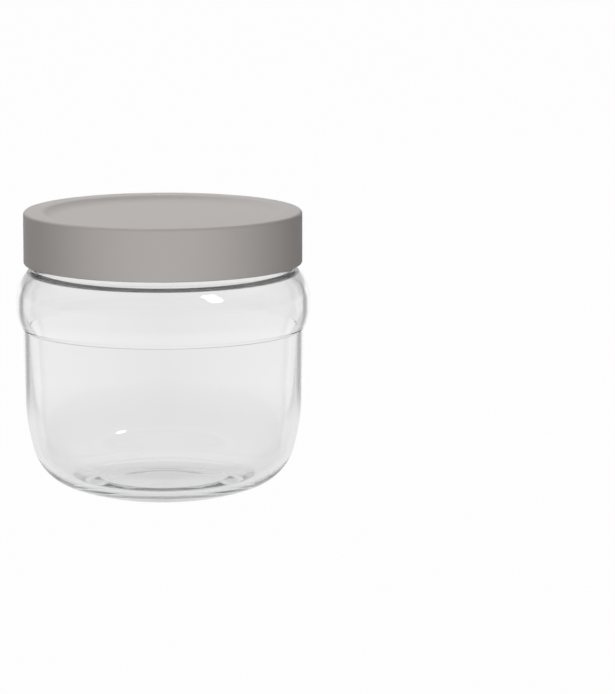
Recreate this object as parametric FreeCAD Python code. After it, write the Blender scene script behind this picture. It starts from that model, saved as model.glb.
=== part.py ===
import FreeCAD
import Part
import math
import os

# A round store jar of clear borosilicate glass with a rest-on lid of moulded plastic.
# Millimetres, +Z up, axis on Z, z = 0 at the ring that the jar stands on.
# Both pieces are turned outlines: (radius, height, rounding) corners joined by tangent arcs.

# Jar: glass thicknesses
WALL = 2.3
BASE_WALL = 2.6
FLOOR_WALL = 4.2
INNER_ROUND = 2.0

# Jar: base, a narrow standing ring round a shallow push-up, under a flat inner floor
RING_RADIUS = 23.4
RING_WIDTH = 2.4
RING_ROUND = 3.0
PUSH_UP = 1.4
PUSH_UP_SLOPE = 8.0
PUSH_UP_ROUND = 60.0
SOLE_SLOPE_IN = 11.4
SOLE_SLOPE_OUT = 19.3
SOLE_RISE = 1.05
SOLE_ROUND = 93.0
FLOOR_ROUND = 9.0

# Jar: lower body, almost a cylinder above a round heel
BODY_RADIUS = 52.6
BODY_TAPER = 1.66
HEEL_SLOPE = 12.9
HEEL_HEIGHT = 28.7
HEEL_ROUND = 19.8
FLANK_ROUND = 83.0

# Jar: the bulging band, which starts at a crease and ends under the neck
CREASE_HEIGHT = 62.1
CREASE_ROUND = 0.8
BAND_STEP = 2.2
BAND_SLOPE_LOW = 28.0
BAND_ROUND_LOW = 17.0
BAND_TOP_DROP = 6.05
BAND_ROUND_TOP = 15.0
SHOULDER_HEIGHT = 84.7
SHOULDER_WIDTH = 1.9
SHOULDER_ROUND = 2.5
NECK_ROUND = 1.0

# Jar: the neck that the lid covers
NECK_RADIUS = 48.0
NECK_HEIGHT = 16.9
RIM_ROUND = 0.9

# Lid: a cap that rests on the rim, its skirt round the neck
SKIRT_GAP = 0.4
SKIRT_WALL = 3.65
SKIRT_CLEAR = 1.9
DECK_WALL = 2.4
RECESS_DEPTH = 2.2
RECESS_EDGE = 7.3
RECESS_SLOPE = 35.0
RECESS_ROUND = 9.0
RECESS_LIP = 3.0
LID_EDGE_TOP = 1.2
LID_EDGE_LOW = 0.6
LID_INNER_ROUND = 0.5

# Worked out from the sizes above
BAND_RADIUS = BODY_RADIUS + BAND_STEP
RIM_HEIGHT = SHOULDER_HEIGHT + NECK_HEIGHT
LID_RADIUS = NECK_RADIUS + SKIRT_GAP + SKIRT_WALL
LID_LOW = SHOULDER_HEIGHT + SKIRT_CLEAR
LID_TOP = RIM_HEIGHT + DECK_WALL + RECESS_DEPTH


def tan(degrees):
    return math.tan(math.radians(degrees))


def point(radius, height):
    """A point of the outline, in the XZ half-plane that is turned round Z."""
    return FreeCAD.Vector(radius, 0, height)


def crossing(start_a, way_a, start_b, way_b):
    """Where the line through start_a along way_a meets the line through start_b along way_b."""
    cross = way_a.x * way_b.z - way_a.z * way_b.x
    gap = start_b - start_a
    along = (gap.x * way_b.z - gap.z * way_b.x) / cross
    return start_a + way_a * along


def rounded_outline(corners):
    """Edges through (point, rounding) corners. A rounding is limited by the two runs beside it."""
    spots = [spot for spot, rounding in corners]
    reach = [0.0] * len(corners)
    half_turns = [0.0] * len(corners)
    for i in range(1, len(corners) - 1):
        before = spots[i] - spots[i - 1]
        after = spots[i + 1] - spots[i]
        half_turns[i] = before.getAngle(after) / 2
        reach[i] = corners[i][1] * math.tan(half_turns[i])
    for i in range(len(corners) - 1):
        run = spots[i].distanceToPoint(spots[i + 1])
        wanted = reach[i] + reach[i + 1]
        if wanted > run:
            reach[i] *= run / wanted
            reach[i + 1] *= run / wanted
    edges = []
    last = spots[0]
    for i in range(1, len(corners)):
        to_before = (spots[i - 1] - spots[i]).normalize()
        if reach[i] > 0:
            to_after = (spots[i + 1] - spots[i]).normalize()
            radius = reach[i] / math.tan(half_turns[i])
            middle_way = (to_before + to_after).normalize()
            middle_gap = radius / math.cos(half_turns[i]) - radius
            arc_start = spots[i] + to_before * reach[i]
            arc_end = spots[i] + to_after * reach[i]
            arc_middle = spots[i] + middle_way * middle_gap
        else:
            arc_start = spots[i]
        if last.distanceToPoint(arc_start) > 1e-6:
            edges.append(Part.makeLine(last, arc_start))
        if reach[i] > 0:
            edges.append(Part.Arc(arc_start, arc_middle, arc_end).toShape())
            last = arc_end
        else:
            last = spots[i]
    return edges


def turned(edges):
    """The solid that an outline makes when it is closed along the axis and turned round it."""
    first = edges[0].firstVertex().Point
    last = edges[-1].lastVertex().Point
    closed = edges + [Part.makeLine(last, first)]
    face = Part.Face(Part.Wire(Part.__sortEdges__(closed)))
    solid = face.revolve(FreeCAD.Vector(0, 0, 0), FreeCAD.Vector(0, 0, 1), 360)
    return Part.Solid(solid.Shells[0])


def jar_outer():
    """Corners of the jar's outer side: its base out to the sole, and its sides from there up to the rim."""
    ring_in = point(RING_RADIUS - RING_WIDTH / 2, 0)
    ring_out = point(RING_RADIUS + RING_WIDTH / 2, 0)
    push_up = point(ring_in.x - PUSH_UP / tan(PUSH_UP_SLOPE), PUSH_UP)
    sole = point(ring_out.x + SOLE_RISE / tan(SOLE_SLOPE_IN), SOLE_RISE)
    crease = point(BODY_RADIUS, CREASE_HEIGHT)
    flank = point(BODY_RADIUS - (CREASE_HEIGHT - HEEL_HEIGHT) * tan(BODY_TAPER), HEEL_HEIGHT)
    heel = crossing(sole, point(1, tan(SOLE_SLOPE_OUT)), flank, point(-tan(HEEL_SLOPE), -1))
    band_low = point(BAND_RADIUS, CREASE_HEIGHT + BAND_STEP / tan(BAND_SLOPE_LOW))
    shoulder = point(NECK_RADIUS + SHOULDER_WIDTH, SHOULDER_HEIGHT)
    band_top = point(BAND_RADIUS, SHOULDER_HEIGHT - BAND_TOP_DROP)
    neck = point(NECK_RADIUS, SHOULDER_HEIGHT)
    rim = point(NECK_RADIUS, RIM_HEIGHT)
    base = [
        (point(0, PUSH_UP), 0),
        (push_up, PUSH_UP_ROUND),
        (ring_in, RING_ROUND),
        (ring_out, RING_ROUND),
    ]
    sides = [
        (sole, SOLE_ROUND),
        (heel, HEEL_ROUND),
        (flank, FLANK_ROUND),
        (crease, CREASE_ROUND),
        (band_low, BAND_ROUND_LOW),
        (band_top, BAND_ROUND_TOP),
        (shoulder, SHOULDER_ROUND),
        (neck, NECK_ROUND),
        (rim, RIM_ROUND),
    ]
    return base, sides


def jar_inner(sides):
    """Corners of the inner side: a flat floor, then the outer sides one glass thickness further in."""
    lines = [(point(0, PUSH_UP + FLOOR_WALL), point(1, 0))]
    for (start, _), (end, _) in zip(sides, sides[1:]):
        way = (end - start).normalize()
        inwards = point(-way.z, way.x)
        thickness = BASE_WALL if way.x > way.z else WALL
        lines.append((start + inwards * thickness, way))
    lines.append((sides[-1][0], point(-1, 0)))
    inner = [(lines[0][0], 0)]
    for i in range(1, len(lines)):
        spot = crossing(*lines[i - 1], *lines[i])
        turn = lines[i - 1][1].cross(lines[i][1]).y
        rounding = sides[i - 1][1] + (WALL if turn > 0 else -WALL)
        inner.append((spot, max(rounding, INNER_ROUND)))
    inner[1] = (inner[1][0], FLOOR_ROUND)
    inner[-1] = (inner[-1][0], RIM_ROUND)
    return inner


def make_jar():
    base, sides = jar_outer()
    return turned(rounded_outline(base + sides + jar_inner(sides)[::-1]))


def make_lid():
    recess_radius = LID_RADIUS - RECESS_EDGE
    floor = LID_TOP - RECESS_DEPTH
    skirt_radius = NECK_RADIUS + SKIRT_GAP
    corners = [
        (point(0, RIM_HEIGHT), 0),
        (point(skirt_radius, RIM_HEIGHT), LID_INNER_ROUND),
        (point(skirt_radius, LID_LOW), LID_EDGE_LOW),
        (point(LID_RADIUS, LID_LOW), LID_EDGE_LOW),
        (point(LID_RADIUS, LID_TOP), LID_EDGE_TOP),
        (point(recess_radius, LID_TOP), RECESS_LIP),
        (point(recess_radius - RECESS_DEPTH / tan(RECESS_SLOPE), floor), RECESS_ROUND),
        (point(0, floor), 0),
    ]
    return turned(rounded_outline(corners))


def main():
    os.makedirs("parts", exist_ok=True)
    pieces = {"jar": make_jar(), "lid": make_lid()}
    for name, solid in pieces.items():
        solid.exportStep(f"parts/{name}.step")
        box = solid.optimalBoundingBox()
        print(name, "valid", solid.isValid(), "closed", solid.isClosed(), "mm3", round(solid.Volume))
        print("  radius", round(box.XMax, 2), "from z", round(box.ZMin, 2), "to", round(box.ZMax, 2))


main()
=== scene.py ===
import bpy
import bmesh
import math
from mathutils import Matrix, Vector


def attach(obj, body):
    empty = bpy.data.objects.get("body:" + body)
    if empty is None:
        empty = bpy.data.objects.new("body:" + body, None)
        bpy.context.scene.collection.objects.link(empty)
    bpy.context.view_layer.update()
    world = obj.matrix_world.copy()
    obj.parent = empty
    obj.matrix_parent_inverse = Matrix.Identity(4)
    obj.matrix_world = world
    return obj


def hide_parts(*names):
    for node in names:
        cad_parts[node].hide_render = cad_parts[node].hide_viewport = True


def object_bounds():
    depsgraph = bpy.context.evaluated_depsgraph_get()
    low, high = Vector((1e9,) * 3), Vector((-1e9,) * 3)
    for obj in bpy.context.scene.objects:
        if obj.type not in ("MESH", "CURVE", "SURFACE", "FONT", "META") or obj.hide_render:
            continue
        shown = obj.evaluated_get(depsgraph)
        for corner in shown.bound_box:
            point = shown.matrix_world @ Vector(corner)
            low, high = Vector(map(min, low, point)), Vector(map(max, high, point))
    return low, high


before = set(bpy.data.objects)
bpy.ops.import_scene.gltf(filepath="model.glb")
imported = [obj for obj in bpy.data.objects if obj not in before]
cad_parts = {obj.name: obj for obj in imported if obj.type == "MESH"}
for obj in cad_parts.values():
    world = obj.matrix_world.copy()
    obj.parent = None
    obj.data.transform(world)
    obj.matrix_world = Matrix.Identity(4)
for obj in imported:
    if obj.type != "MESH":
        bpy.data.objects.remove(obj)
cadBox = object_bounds()
mm = 0.001


# Outlines: (radius, height, rounding) corners in millimetres, turned into bodies

turning = dict(
    # straight runs get steps this many times longer than an arc's, and an arc at least fewest of them
    runStretch=4, fewest=4, widestDegrees=6,
    # vertices nearer than these are one, in millimetres
    sameSpot=1e-5, merge=1e-4,
)


def tan(degrees):
    return math.tan(math.radians(degrees))


def spot(radius, height):
    return Vector((radius, 0, height))


def crossing(startA, wayA, startB, wayB):
    # where two lines of the XZ plane meet
    cross = wayA.x * wayB.z - wayA.z * wayB.x
    gap = startB - startA
    return startA + wayA * ((gap.x * wayB.z - gap.z * wayB.x) / cross)


def arcReach(corners):
    # how far each rounding eats into the runs beside it, never more than the run holds
    spots = [place for place, rounding in corners]
    turns = [0.0] * len(corners)
    reach = [0.0] * len(corners)
    for i in range(1, len(corners) - 1):
        before = spots[i] - spots[i - 1]
        after = spots[i + 1] - spots[i]
        side = before.x * after.z - before.z * after.x
        turns[i] = math.copysign(before.angle(after), side)
        reach[i] = corners[i][1] * math.tan(abs(turns[i]) / 2)
    for i in range(len(corners) - 1):
        run = (spots[i + 1] - spots[i]).length
        wanted = reach[i] + reach[i + 1]
        if wanted > run:
            reach[i] *= run / wanted
            reach[i + 1] *= run / wanted
    return turns, reach


def drawOutline(bm, corners, finest):
    # one chain of edges: straight runs, and arcs spun from their last vertex
    turns, reach = arcReach(corners)
    vert = bmesh.ops.create_vert(bm, co=corners[0][0])["vert"][0]
    for i in range(1, len(corners)):
        corner = corners[i][0]
        way = (corner - corners[i - 1][0]).normalized()
        target = corner - way * reach[i]
        stretch = (target - vert.co).length
        if stretch > turning["sameSpot"]:
            steps = max(1, round(stretch / (finest * turning["runStretch"])))
            here = vert.co.copy()
            for step in range(1, steps + 1):
                vert = bmesh.ops.extrude_vert_indiv(bm, verts=[vert])["verts"][0]
                vert.co = here.lerp(target, step / steps)
        if reach[i] > 0:
            radius = reach[i] / math.tan(abs(turns[i]) / 2)
            leftward = Vector((-way.z, 0, way.x)) * math.copysign(radius, turns[i])
            length = radius * abs(turns[i])
            widest = math.degrees(abs(turns[i])) / turning["widestDegrees"]
            steps = max(turning["fewest"], round(length / finest), round(widest))
            arc = bmesh.ops.spin(bm, geom=[vert], cent=target + leftward, axis=(0, -1, 0),
                                 angle=turns[i], steps=steps)
            vert = [part for part in arc["geom_last"] if isinstance(part, bmesh.types.BMVert)][0]


def turnedMesh(name, corners, finest, sides):
    # spins the outline once round Z, closes its poles and turns the faces outwards
    bm = bmesh.new()
    drawOutline(bm, corners, finest)
    bmesh.ops.spin(bm, geom=bm.verts[:] + bm.edges[:], cent=(0, 0, 0), axis=(0, 0, 1),
                   angle=2 * math.pi, steps=sides, use_merge=True)
    bmesh.ops.remove_doubles(bm, verts=bm.verts[:], dist=turning["merge"])
    bmesh.ops.recalc_face_normals(bm, faces=bm.faces[:])
    bmesh.ops.scale(bm, vec=(mm, mm, mm), verts=bm.verts[:])
    for face in bm.faces:
        face.smooth = True
    mesh = bpy.data.meshes.new(name)
    bm.to_mesh(mesh)
    bm.free()
    piece = bpy.data.objects.new(name, mesh)
    bpy.context.scene.collection.objects.link(piece)
    return piece


# Materials

def linear(hexColour):
    channels = [int(hexColour[i:i + 2], 16) / 255 for i in (1, 3, 5)]
    return tuple(c / 12.92 if c <= 0.04045 else ((c + 0.055) / 1.055) ** 2.4 for c in channels) + (1.0,)


def addNode(tree, kind, settings=None, links=None):
    # settings set node properties or sockets, links join a socket to another node's output
    node = tree.nodes.new(kind)
    for key, value in (settings or {}).items():
        if key in node.inputs:
            node.inputs[key].default_value = value
        else:
            setattr(node, key, value)
    for key, output in (links or {}).items():
        tree.links.new(output, node.inputs[key])
    return node


def emptyMaterial(name):
    material = bpy.data.materials.new(name)
    material.use_nodes = True
    material.node_tree.nodes.clear()
    return material, material.node_tree


def borosilicateGlass(look):
    # blown borosilicate with a fire-polished skin: clear and glassy, a little grey where it is deep
    material, tree = emptyMaterial("borosilicateGlass")
    shader = addNode(tree, "ShaderNodeBsdfPrincipled", {
        "Base Color": linear(look["tint"]),
        "Transmission Weight": 1.0,
        "IOR": look["ior"],
        "Roughness": look["roughness"],
    })
    body = addNode(tree, "ShaderNodeVolumeAbsorption", {
        "Color": linear(look["depthTint"]),
        "Density": look["depthDensity"],
    })
    addNode(tree, "ShaderNodeOutputMaterial", {}, {
        "Surface": shader.outputs["BSDF"],
        "Volume": body.outputs["Volume"],
    })
    return material


def mouldedPolypropylene(look):
    # polypropylene from a textured mould: a soft, even matte that scatters every highlight
    material, tree = emptyMaterial("mouldedPolypropylene")
    place = addNode(tree, "ShaderNodeTexCoord")
    grain = addNode(tree, "ShaderNodeTexNoise", {
        "Scale": 1 / (look["grain"] * mm),
        "Detail": look["grainDetail"],
    }, {"Vector": place.outputs["Object"]})
    bump = addNode(tree, "ShaderNodeBump", {"Strength": look["grainDepth"], "Distance": look["grain"] * mm},
                   {"Height": grain.outputs["Fac"]})
    shader = addNode(tree, "ShaderNodeBsdfPrincipled", {
        "Base Color": linear(look["colour"]),
        "Roughness": look["roughness"],
        "IOR": look["ior"],
        "Specular IOR Level": look["specular"],
    }, {"Normal": bump.outputs["Normal"]})
    addNode(tree, "ShaderNodeOutputMaterial", {}, {"Surface": shader.outputs["BSDF"]})
    return material


# The jar

jar = dict(
    wall=2.3, baseWall=2.6, floorWall=4.2, innerRound=2.0,
    ringRadius=23.4, ringWidth=2.4, ringRound=3.0,
    pushUp=1.4, pushUpSlope=8.0, pushUpRound=60.0,
    soleSlopeIn=11.4, soleSlopeOut=19.3, soleRise=1.05, soleRound=93.0, floorRound=9.0,
    bodyRadius=52.6, bodyTaper=1.66,
    heelSlope=12.9, heelHeight=28.7, heelRound=19.8, flankRound=83.0,
    creaseHeight=62.1, creaseRound=0.8,
    bandStep=2.2, bandSlopeLow=28.0, bandRoundLow=17.0, bandTopDrop=6.05, bandRoundTop=15.0,
    shoulderHeight=84.7, shoulderWidth=1.9, shoulderRound=2.5, neckRound=1.0,
    neckRadius=48.0, neckHeight=16.9, rimRound=0.9,
    finest=0.5, sides=232,
)


def jarOuter(size):
    # the outside of the glass: the foot, then the sides from the sole up to the rim
    s = size
    ringIn = spot(s["ringRadius"] - s["ringWidth"] / 2, 0)
    ringOut = spot(s["ringRadius"] + s["ringWidth"] / 2, 0)
    pushUp = spot(ringIn.x - s["pushUp"] / tan(s["pushUpSlope"]), s["pushUp"])
    sole = spot(ringOut.x + s["soleRise"] / tan(s["soleSlopeIn"]), s["soleRise"])
    crease = spot(s["bodyRadius"], s["creaseHeight"])
    flankFall = (s["creaseHeight"] - s["heelHeight"]) * tan(s["bodyTaper"])
    flank = spot(s["bodyRadius"] - flankFall, s["heelHeight"])
    heel = crossing(sole, spot(1, tan(s["soleSlopeOut"])), flank, spot(-tan(s["heelSlope"]), -1))
    bandRadius = s["bodyRadius"] + s["bandStep"]
    bandLow = spot(bandRadius, s["creaseHeight"] + s["bandStep"] / tan(s["bandSlopeLow"]))
    shoulder = spot(s["neckRadius"] + s["shoulderWidth"], s["shoulderHeight"])
    bandTop = spot(bandRadius, s["shoulderHeight"] - s["bandTopDrop"])
    neck = spot(s["neckRadius"], s["shoulderHeight"])
    rim = spot(s["neckRadius"], s["shoulderHeight"] + s["neckHeight"])
    base = [
        (spot(0, s["pushUp"]), 0),
        (pushUp, s["pushUpRound"]),
        (ringIn, s["ringRound"]),
        (ringOut, s["ringRound"]),
    ]
    sides = [
        (sole, s["soleRound"]),
        (heel, s["heelRound"]),
        (flank, s["flankRound"]),
        (crease, s["creaseRound"]),
        (bandLow, s["bandRoundLow"]),
        (bandTop, s["bandRoundTop"]),
        (shoulder, s["shoulderRound"]),
        (neck, s["neckRound"]),
        (rim, s["rimRound"]),
    ]
    return base, sides


def jarInner(size, sides):
    # a flat floor, then each run of the outer sides moved in by the glass thickness
    lines = [(Vector((0, 0, size["pushUp"] + size["floorWall"])), Vector((1, 0, 0)))]
    for (start, _), (end, _) in zip(sides, sides[1:]):
        way = (end - start).normalized()
        inwards = Vector((-way.z, 0, way.x))
        lines.append((start + inwards * (size["baseWall"] if way.x > way.z else size["wall"]), way))
    lines.append((sides[-1][0], Vector((-1, 0, 0))))
    inner = [(lines[0][0], 0)]
    for i in range(1, len(lines)):
        before, after = lines[i - 1][1], lines[i][1]
        hollow = before.x * after.z - before.z * after.x < 0
        rounding = sides[i - 1][1] + (size["wall"] if hollow else -size["wall"])
        inner.append((crossing(*lines[i - 1], *lines[i]), max(rounding, size["innerRound"])))
    inner[1] = (inner[1][0], size["floorRound"])
    inner[-1] = (inner[-1][0], size["rimRound"])
    return inner


jarLook = dict(
    tint="#FFFFFF", ior=1.47, roughness=0.0,
    depthTint="#DADEDC", depthDensity=14.0,
)

base, sides = jarOuter(jar)
outline = base + sides + jarInner(jar, sides)[::-1]
glassJar = turnedMesh("glassJar", outline, jar["finest"], jar["sides"])
glassJar.data.materials.append(borosilicateGlass(jarLook))
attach(glassJar, "root")
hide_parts("jar")
print("jar: glass turned,", len(glassJar.data.polygons), "faces")


# The lid

lid = dict(
    skirtGap=0.4, skirtWall=3.65, skirtClear=1.9, deckWall=2.4,
    recessDepth=2.2, recessEdge=7.3, recessSlope=35.0, recessRound=9.0, recessLip=3.0,
    edgeTop=1.2, edgeLow=0.6, innerRound=0.5,
    finest=0.35, sides=256,
)


def lidCorners(size, neckRadius, shoulderHeight, rimHeight):
    # from the middle of the underside round the skirt to the middle of the dish
    inside = neckRadius + size["skirtGap"]
    outside = inside + size["skirtWall"]
    low = shoulderHeight + size["skirtClear"]
    floor = rimHeight + size["deckWall"]
    top = floor + size["recessDepth"]
    recess = outside - size["recessEdge"]
    return [
        (spot(0, rimHeight), 0),
        (spot(inside, rimHeight), size["innerRound"]),
        (spot(inside, low), size["edgeLow"]),
        (spot(outside, low), size["edgeLow"]),
        (spot(outside, top), size["edgeTop"]),
        (spot(recess, top), size["recessLip"]),
        (spot(recess - size["recessDepth"] / tan(size["recessSlope"]), floor), size["recessRound"]),
        (spot(0, floor), 0),
    ]


lidLook = dict(
    colour="#C6C1BE", roughness=0.5, ior=1.49, specular=0.4,
    # grain width in millimetres, drawn coarser than the mould's own so that it shows
    grain=0.35, grainDetail=3.0, grainDepth=0.15,
)

rimHeight = jar["shoulderHeight"] + jar["neckHeight"]
restLid = turnedMesh("restLid", lidCorners(lid, jar["neckRadius"], jar["shoulderHeight"], rimHeight),
                     lid["finest"], lid["sides"])
restLid.data.materials.append(mouldedPolypropylene(lidLook))
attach(restLid, "root")
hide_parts("lid")
print("lid: cap turned,", len(restLid.data.polygons), "faces")


# Floor, world, lamps and camera

studio = dict(
    floorSize=6.0, floorColour="#606060", seenFloor=0.985,
    ambient=0.03, ambientTint="#F6E4DE",
    # brightness round the horizon, by degrees from straight behind the jar
    ring=[(0, 0.88), (12, 0.92), (25, 1.02), (28, 0.4), (37, 0.4),
          (42, 0.72), (80, 0.6), (100, 0.5), (180, 0.3)],
    # share of that brightness by height: the sine of the angle above the horizon
    lift=[(0, 0.8), (0.08, 0.7), (0.4, 0.65), (0.5, 0.7), (0.66, 1.2), (1.0, 1.2)],
    # the floor close to the jar has one level, and takes on the ring's beyond it, in metres
    nearLevel=0.82, nearRadius=0.14, farRadius=0.24,
)


def anyOf(tree, outputs):
    either = outputs[0]
    for output in outputs[1:]:
        both = addNode(tree, "ShaderNodeMath", {"operation": "MAXIMUM"})
        tree.links.new(either, both.inputs[0])
        tree.links.new(output, both.inputs[1])
        either = both.outputs[0]
    return either


def mixed(tree, share, first, second):
    mixer = addNode(tree, "ShaderNodeMixShader")
    for socket, output in zip(mixer.inputs, (share, first, second)):
        tree.links.new(output, socket)
    return mixer.outputs[0]


def math2(tree, operation, first, second):
    # a maths node whose two inputs are outputs or plain numbers
    node = addNode(tree, "ShaderNodeMath", {"operation": operation})
    for socket, value in zip(node.inputs, (first, second)):
        if isinstance(value, (int, float)):
            socket.default_value = value
        else:
            tree.links.new(value, socket)
    return node.outputs[0]


def levelRamp(tree, place, levels):
    # a grey ramp through (position, level) stops, halved so that levels up to 2 fit its colours
    ramp = addNode(tree, "ShaderNodeValToRGB", {}, {"Fac": place})
    stops = ramp.color_ramp.elements
    for i, (position, level) in enumerate(levels):
        stop = stops[i] if i < 2 else stops.new(position)
        stop.position = position
        stop.color = (level / 2, level / 2, level / 2, 1)
    return math2(tree, "MULTIPLY", ramp.outputs["Color"], 2.0)


def ringLevel(tree, place, look):
    # the brightness round the horizon at a place or in a direction
    axes = addNode(tree, "ShaderNodeSeparateXYZ", {}, {"Vector": place})
    aside = math2(tree, "ABSOLUTE", axes.outputs["X"], 0.0)
    azimuth = math2(tree, "ARCTAN2", aside, axes.outputs["Y"])
    turn = math2(tree, "DIVIDE", azimuth, math.pi)
    return levelRamp(tree, turn, [(degrees / 180, level) for degrees, level in look["ring"]])


def paleFloor(look):
    # nearly white to the eye with a trace of shadow, and pale grey through or off the glass
    material, tree = emptyMaterial("paleFloor")
    path = addNode(tree, "ShaderNodeLightPath")
    lit = addNode(tree, "ShaderNodeBsdfDiffuse", {"Color": linear(look["floorColour"])})
    white = addNode(tree, "ShaderNodeEmission", {"Strength": 1.0})
    place = addNode(tree, "ShaderNodeTexCoord")
    reach = addNode(tree, "ShaderNodeVectorMath", {"operation": "LENGTH"},
                    {"Vector": place.outputs["Object"]})
    far = addNode(tree, "ShaderNodeMapRange", {
        "From Min": look["nearRadius"],
        "From Max": look["farRadius"],
    }, {"Value": reach.outputs["Value"]})
    ringed = ringLevel(tree, place.outputs["Object"], look)
    ring = addNode(tree, "ShaderNodeEmission", {}, {"Strength": ringed})
    near = addNode(tree, "ShaderNodeEmission", {"Strength": look["nearLevel"]})
    grey = mixed(tree, far.outputs[0], near.outputs[0], ring.outputs[0])
    seen = math2(tree, "MULTIPLY", path.outputs["Is Camera Ray"], look["seenFloor"])
    direct = mixed(tree, seen, lit.outputs[0], white.outputs[0])
    indirect = anyOf(tree, [path.outputs["Is Glossy Ray"], path.outputs["Is Transmission Ray"]])
    surface = mixed(tree, indirect, direct, grey)
    addNode(tree, "ShaderNodeOutputMaterial", {}, {"Surface": surface})
    return material


def studioWorld(look):
    # white to the eye; through or off the glass a bright backdrop between two dark strips,
    # duller sides, a dim front and a bright top, and for other light a faint warm ambient
    world = bpy.data.worlds.new("studioWorld")
    world.use_nodes = True
    tree = world.node_tree
    tree.nodes.clear()
    place = addNode(tree, "ShaderNodeTexCoord")
    axes = addNode(tree, "ShaderNodeSeparateXYZ", {}, {"Vector": place.outputs["Generated"]})
    ring = ringLevel(tree, place.outputs["Generated"], look)
    lift = levelRamp(tree, axes.outputs["Z"], look["lift"])
    level = math2(tree, "MULTIPLY", ring, lift)
    studioLight = addNode(tree, "ShaderNodeBackground", {}, {"Strength": level})
    path = addNode(tree, "ShaderNodeLightPath")
    white = addNode(tree, "ShaderNodeBackground", {"Strength": 1.0})
    ambient = addNode(tree, "ShaderNodeBackground", {"Color": linear(look["ambientTint"]),
                                                     "Strength": look["ambient"]})
    indirect = anyOf(tree, [path.outputs["Is Glossy Ray"], path.outputs["Is Transmission Ray"]])
    lit = mixed(tree, indirect, ambient.outputs[0], studioLight.outputs[0])
    surface = mixed(tree, path.outputs["Is Camera Ray"], lit, white.outputs[0])
    addNode(tree, "ShaderNodeOutputWorld", {}, {"Surface": surface})
    bpy.context.scene.world = world


floorMesh = bmesh.new()
bmesh.ops.create_grid(floorMesh, x_segments=1, y_segments=1, size=studio["floorSize"] / 2)
floorData = bpy.data.meshes.new("paleFloor")
floorMesh.to_mesh(floorData)
floorMesh.free()
floor = bpy.data.objects.new("paleFloor", floorData)
bpy.context.scene.collection.objects.link(floor)
floor.data.materials.append(paleFloor(studio))
studioWorld(studio)

# Lamps: where they stand and what they face, in metres. One that lights falls on matt surfaces,
# and one that shines is seen in gloss and through glass.
lamps = [
    dict(name="glint", at=(0.62, -0.56, 0.84), aim=(0, 0, 0.05), size=(0.18, 0.4), watts=2.0,
         lights=False, shines=True),
    dict(name="topBox", at=(-0.15, 0.62, 0.85), aim=(0, 0, 0.1), size=(0.9, 0.6), watts=7.4,
         lights=True, shines=False),
    dict(name="leftBack", at=(-0.6, 1.04, 0.16), aim=(0, 0, 0.08), size=(0.2, 0.4), watts=3.0,
         lights=True, shines=False),
    dict(name="rightBack", at=(0.6, 1.04, 0.16), aim=(0, 0, 0.08), size=(0.2, 0.4), watts=2.5,
         lights=True, shines=False),
    dict(name="leftFill", at=(-0.62, -0.4, 0.12), aim=(0, 0, 0.08), size=(0.3, 0.3), watts=0.7,
         lights=True, shines=False),
    dict(name="frontBox", at=(0.03, -1.25, 0.85), aim=(0, 0, 0.08), size=(0.5, 0.3), watts=8.0,
         lights=True, shines=False),
    dict(name="floorGlow", at=(0.05, -0.3, 0.003), aim=(0.05, -0.3, 1.0), size=(0.24, 0.36), watts=0.45,
         lights=True, shines=False),
]


def addLamp(lamp):
    data = bpy.data.lights.new(lamp["name"], "AREA")
    data.shape = "RECTANGLE"
    data.size, data.size_y = lamp["size"]
    data.energy = lamp["watts"]
    box = bpy.data.objects.new(lamp["name"], data)
    box.location = lamp["at"]
    box.rotation_euler = (Vector(lamp["aim"]) - Vector(lamp["at"])).to_track_quat("-Z", "Y").to_euler()
    box.visible_camera = False
    box.visible_diffuse = lamp["lights"]
    box.visible_glossy = lamp["shines"]
    box.visible_transmission = lamp["shines"]
    bpy.context.scene.collection.objects.link(box)


for lamp in lamps:
    addLamp(lamp)

# distance and aim in metres, rise in degrees
view = dict(distance=1.6875, rise=9.4, lens=233.4, aimBeside=0.0540, aimAbove=0.0011)
bounces = dict(most=32, glossy=24, transmission=24)  # glass walls behind each other need many
height = (cadBox[0][2] + cadBox[1][2]) / 2
camera = bpy.data.objects.new("camera", bpy.data.cameras.new("camera"))
rise = math.radians(view["rise"])
camera.location = (0, -view["distance"] * math.cos(rise), height + view["distance"] * math.sin(rise))
target = Vector((view["aimBeside"], 0, height + view["aimAbove"]))
camera.rotation_euler = (target - camera.location).to_track_quat("-Z", "Y").to_euler()
camera.data.lens = view["lens"]
bpy.context.scene.collection.objects.link(camera)
bpy.context.scene.camera = camera
bpy.context.scene.view_settings.view_transform = "Standard"
bpy.context.scene.cycles.max_bounces = bounces["most"]
bpy.context.scene.cycles.glossy_bounces = bounces["glossy"]
bpy.context.scene.cycles.transmission_bounces = bounces["transmission"]
print("stage: floor, world, lamps and camera set")
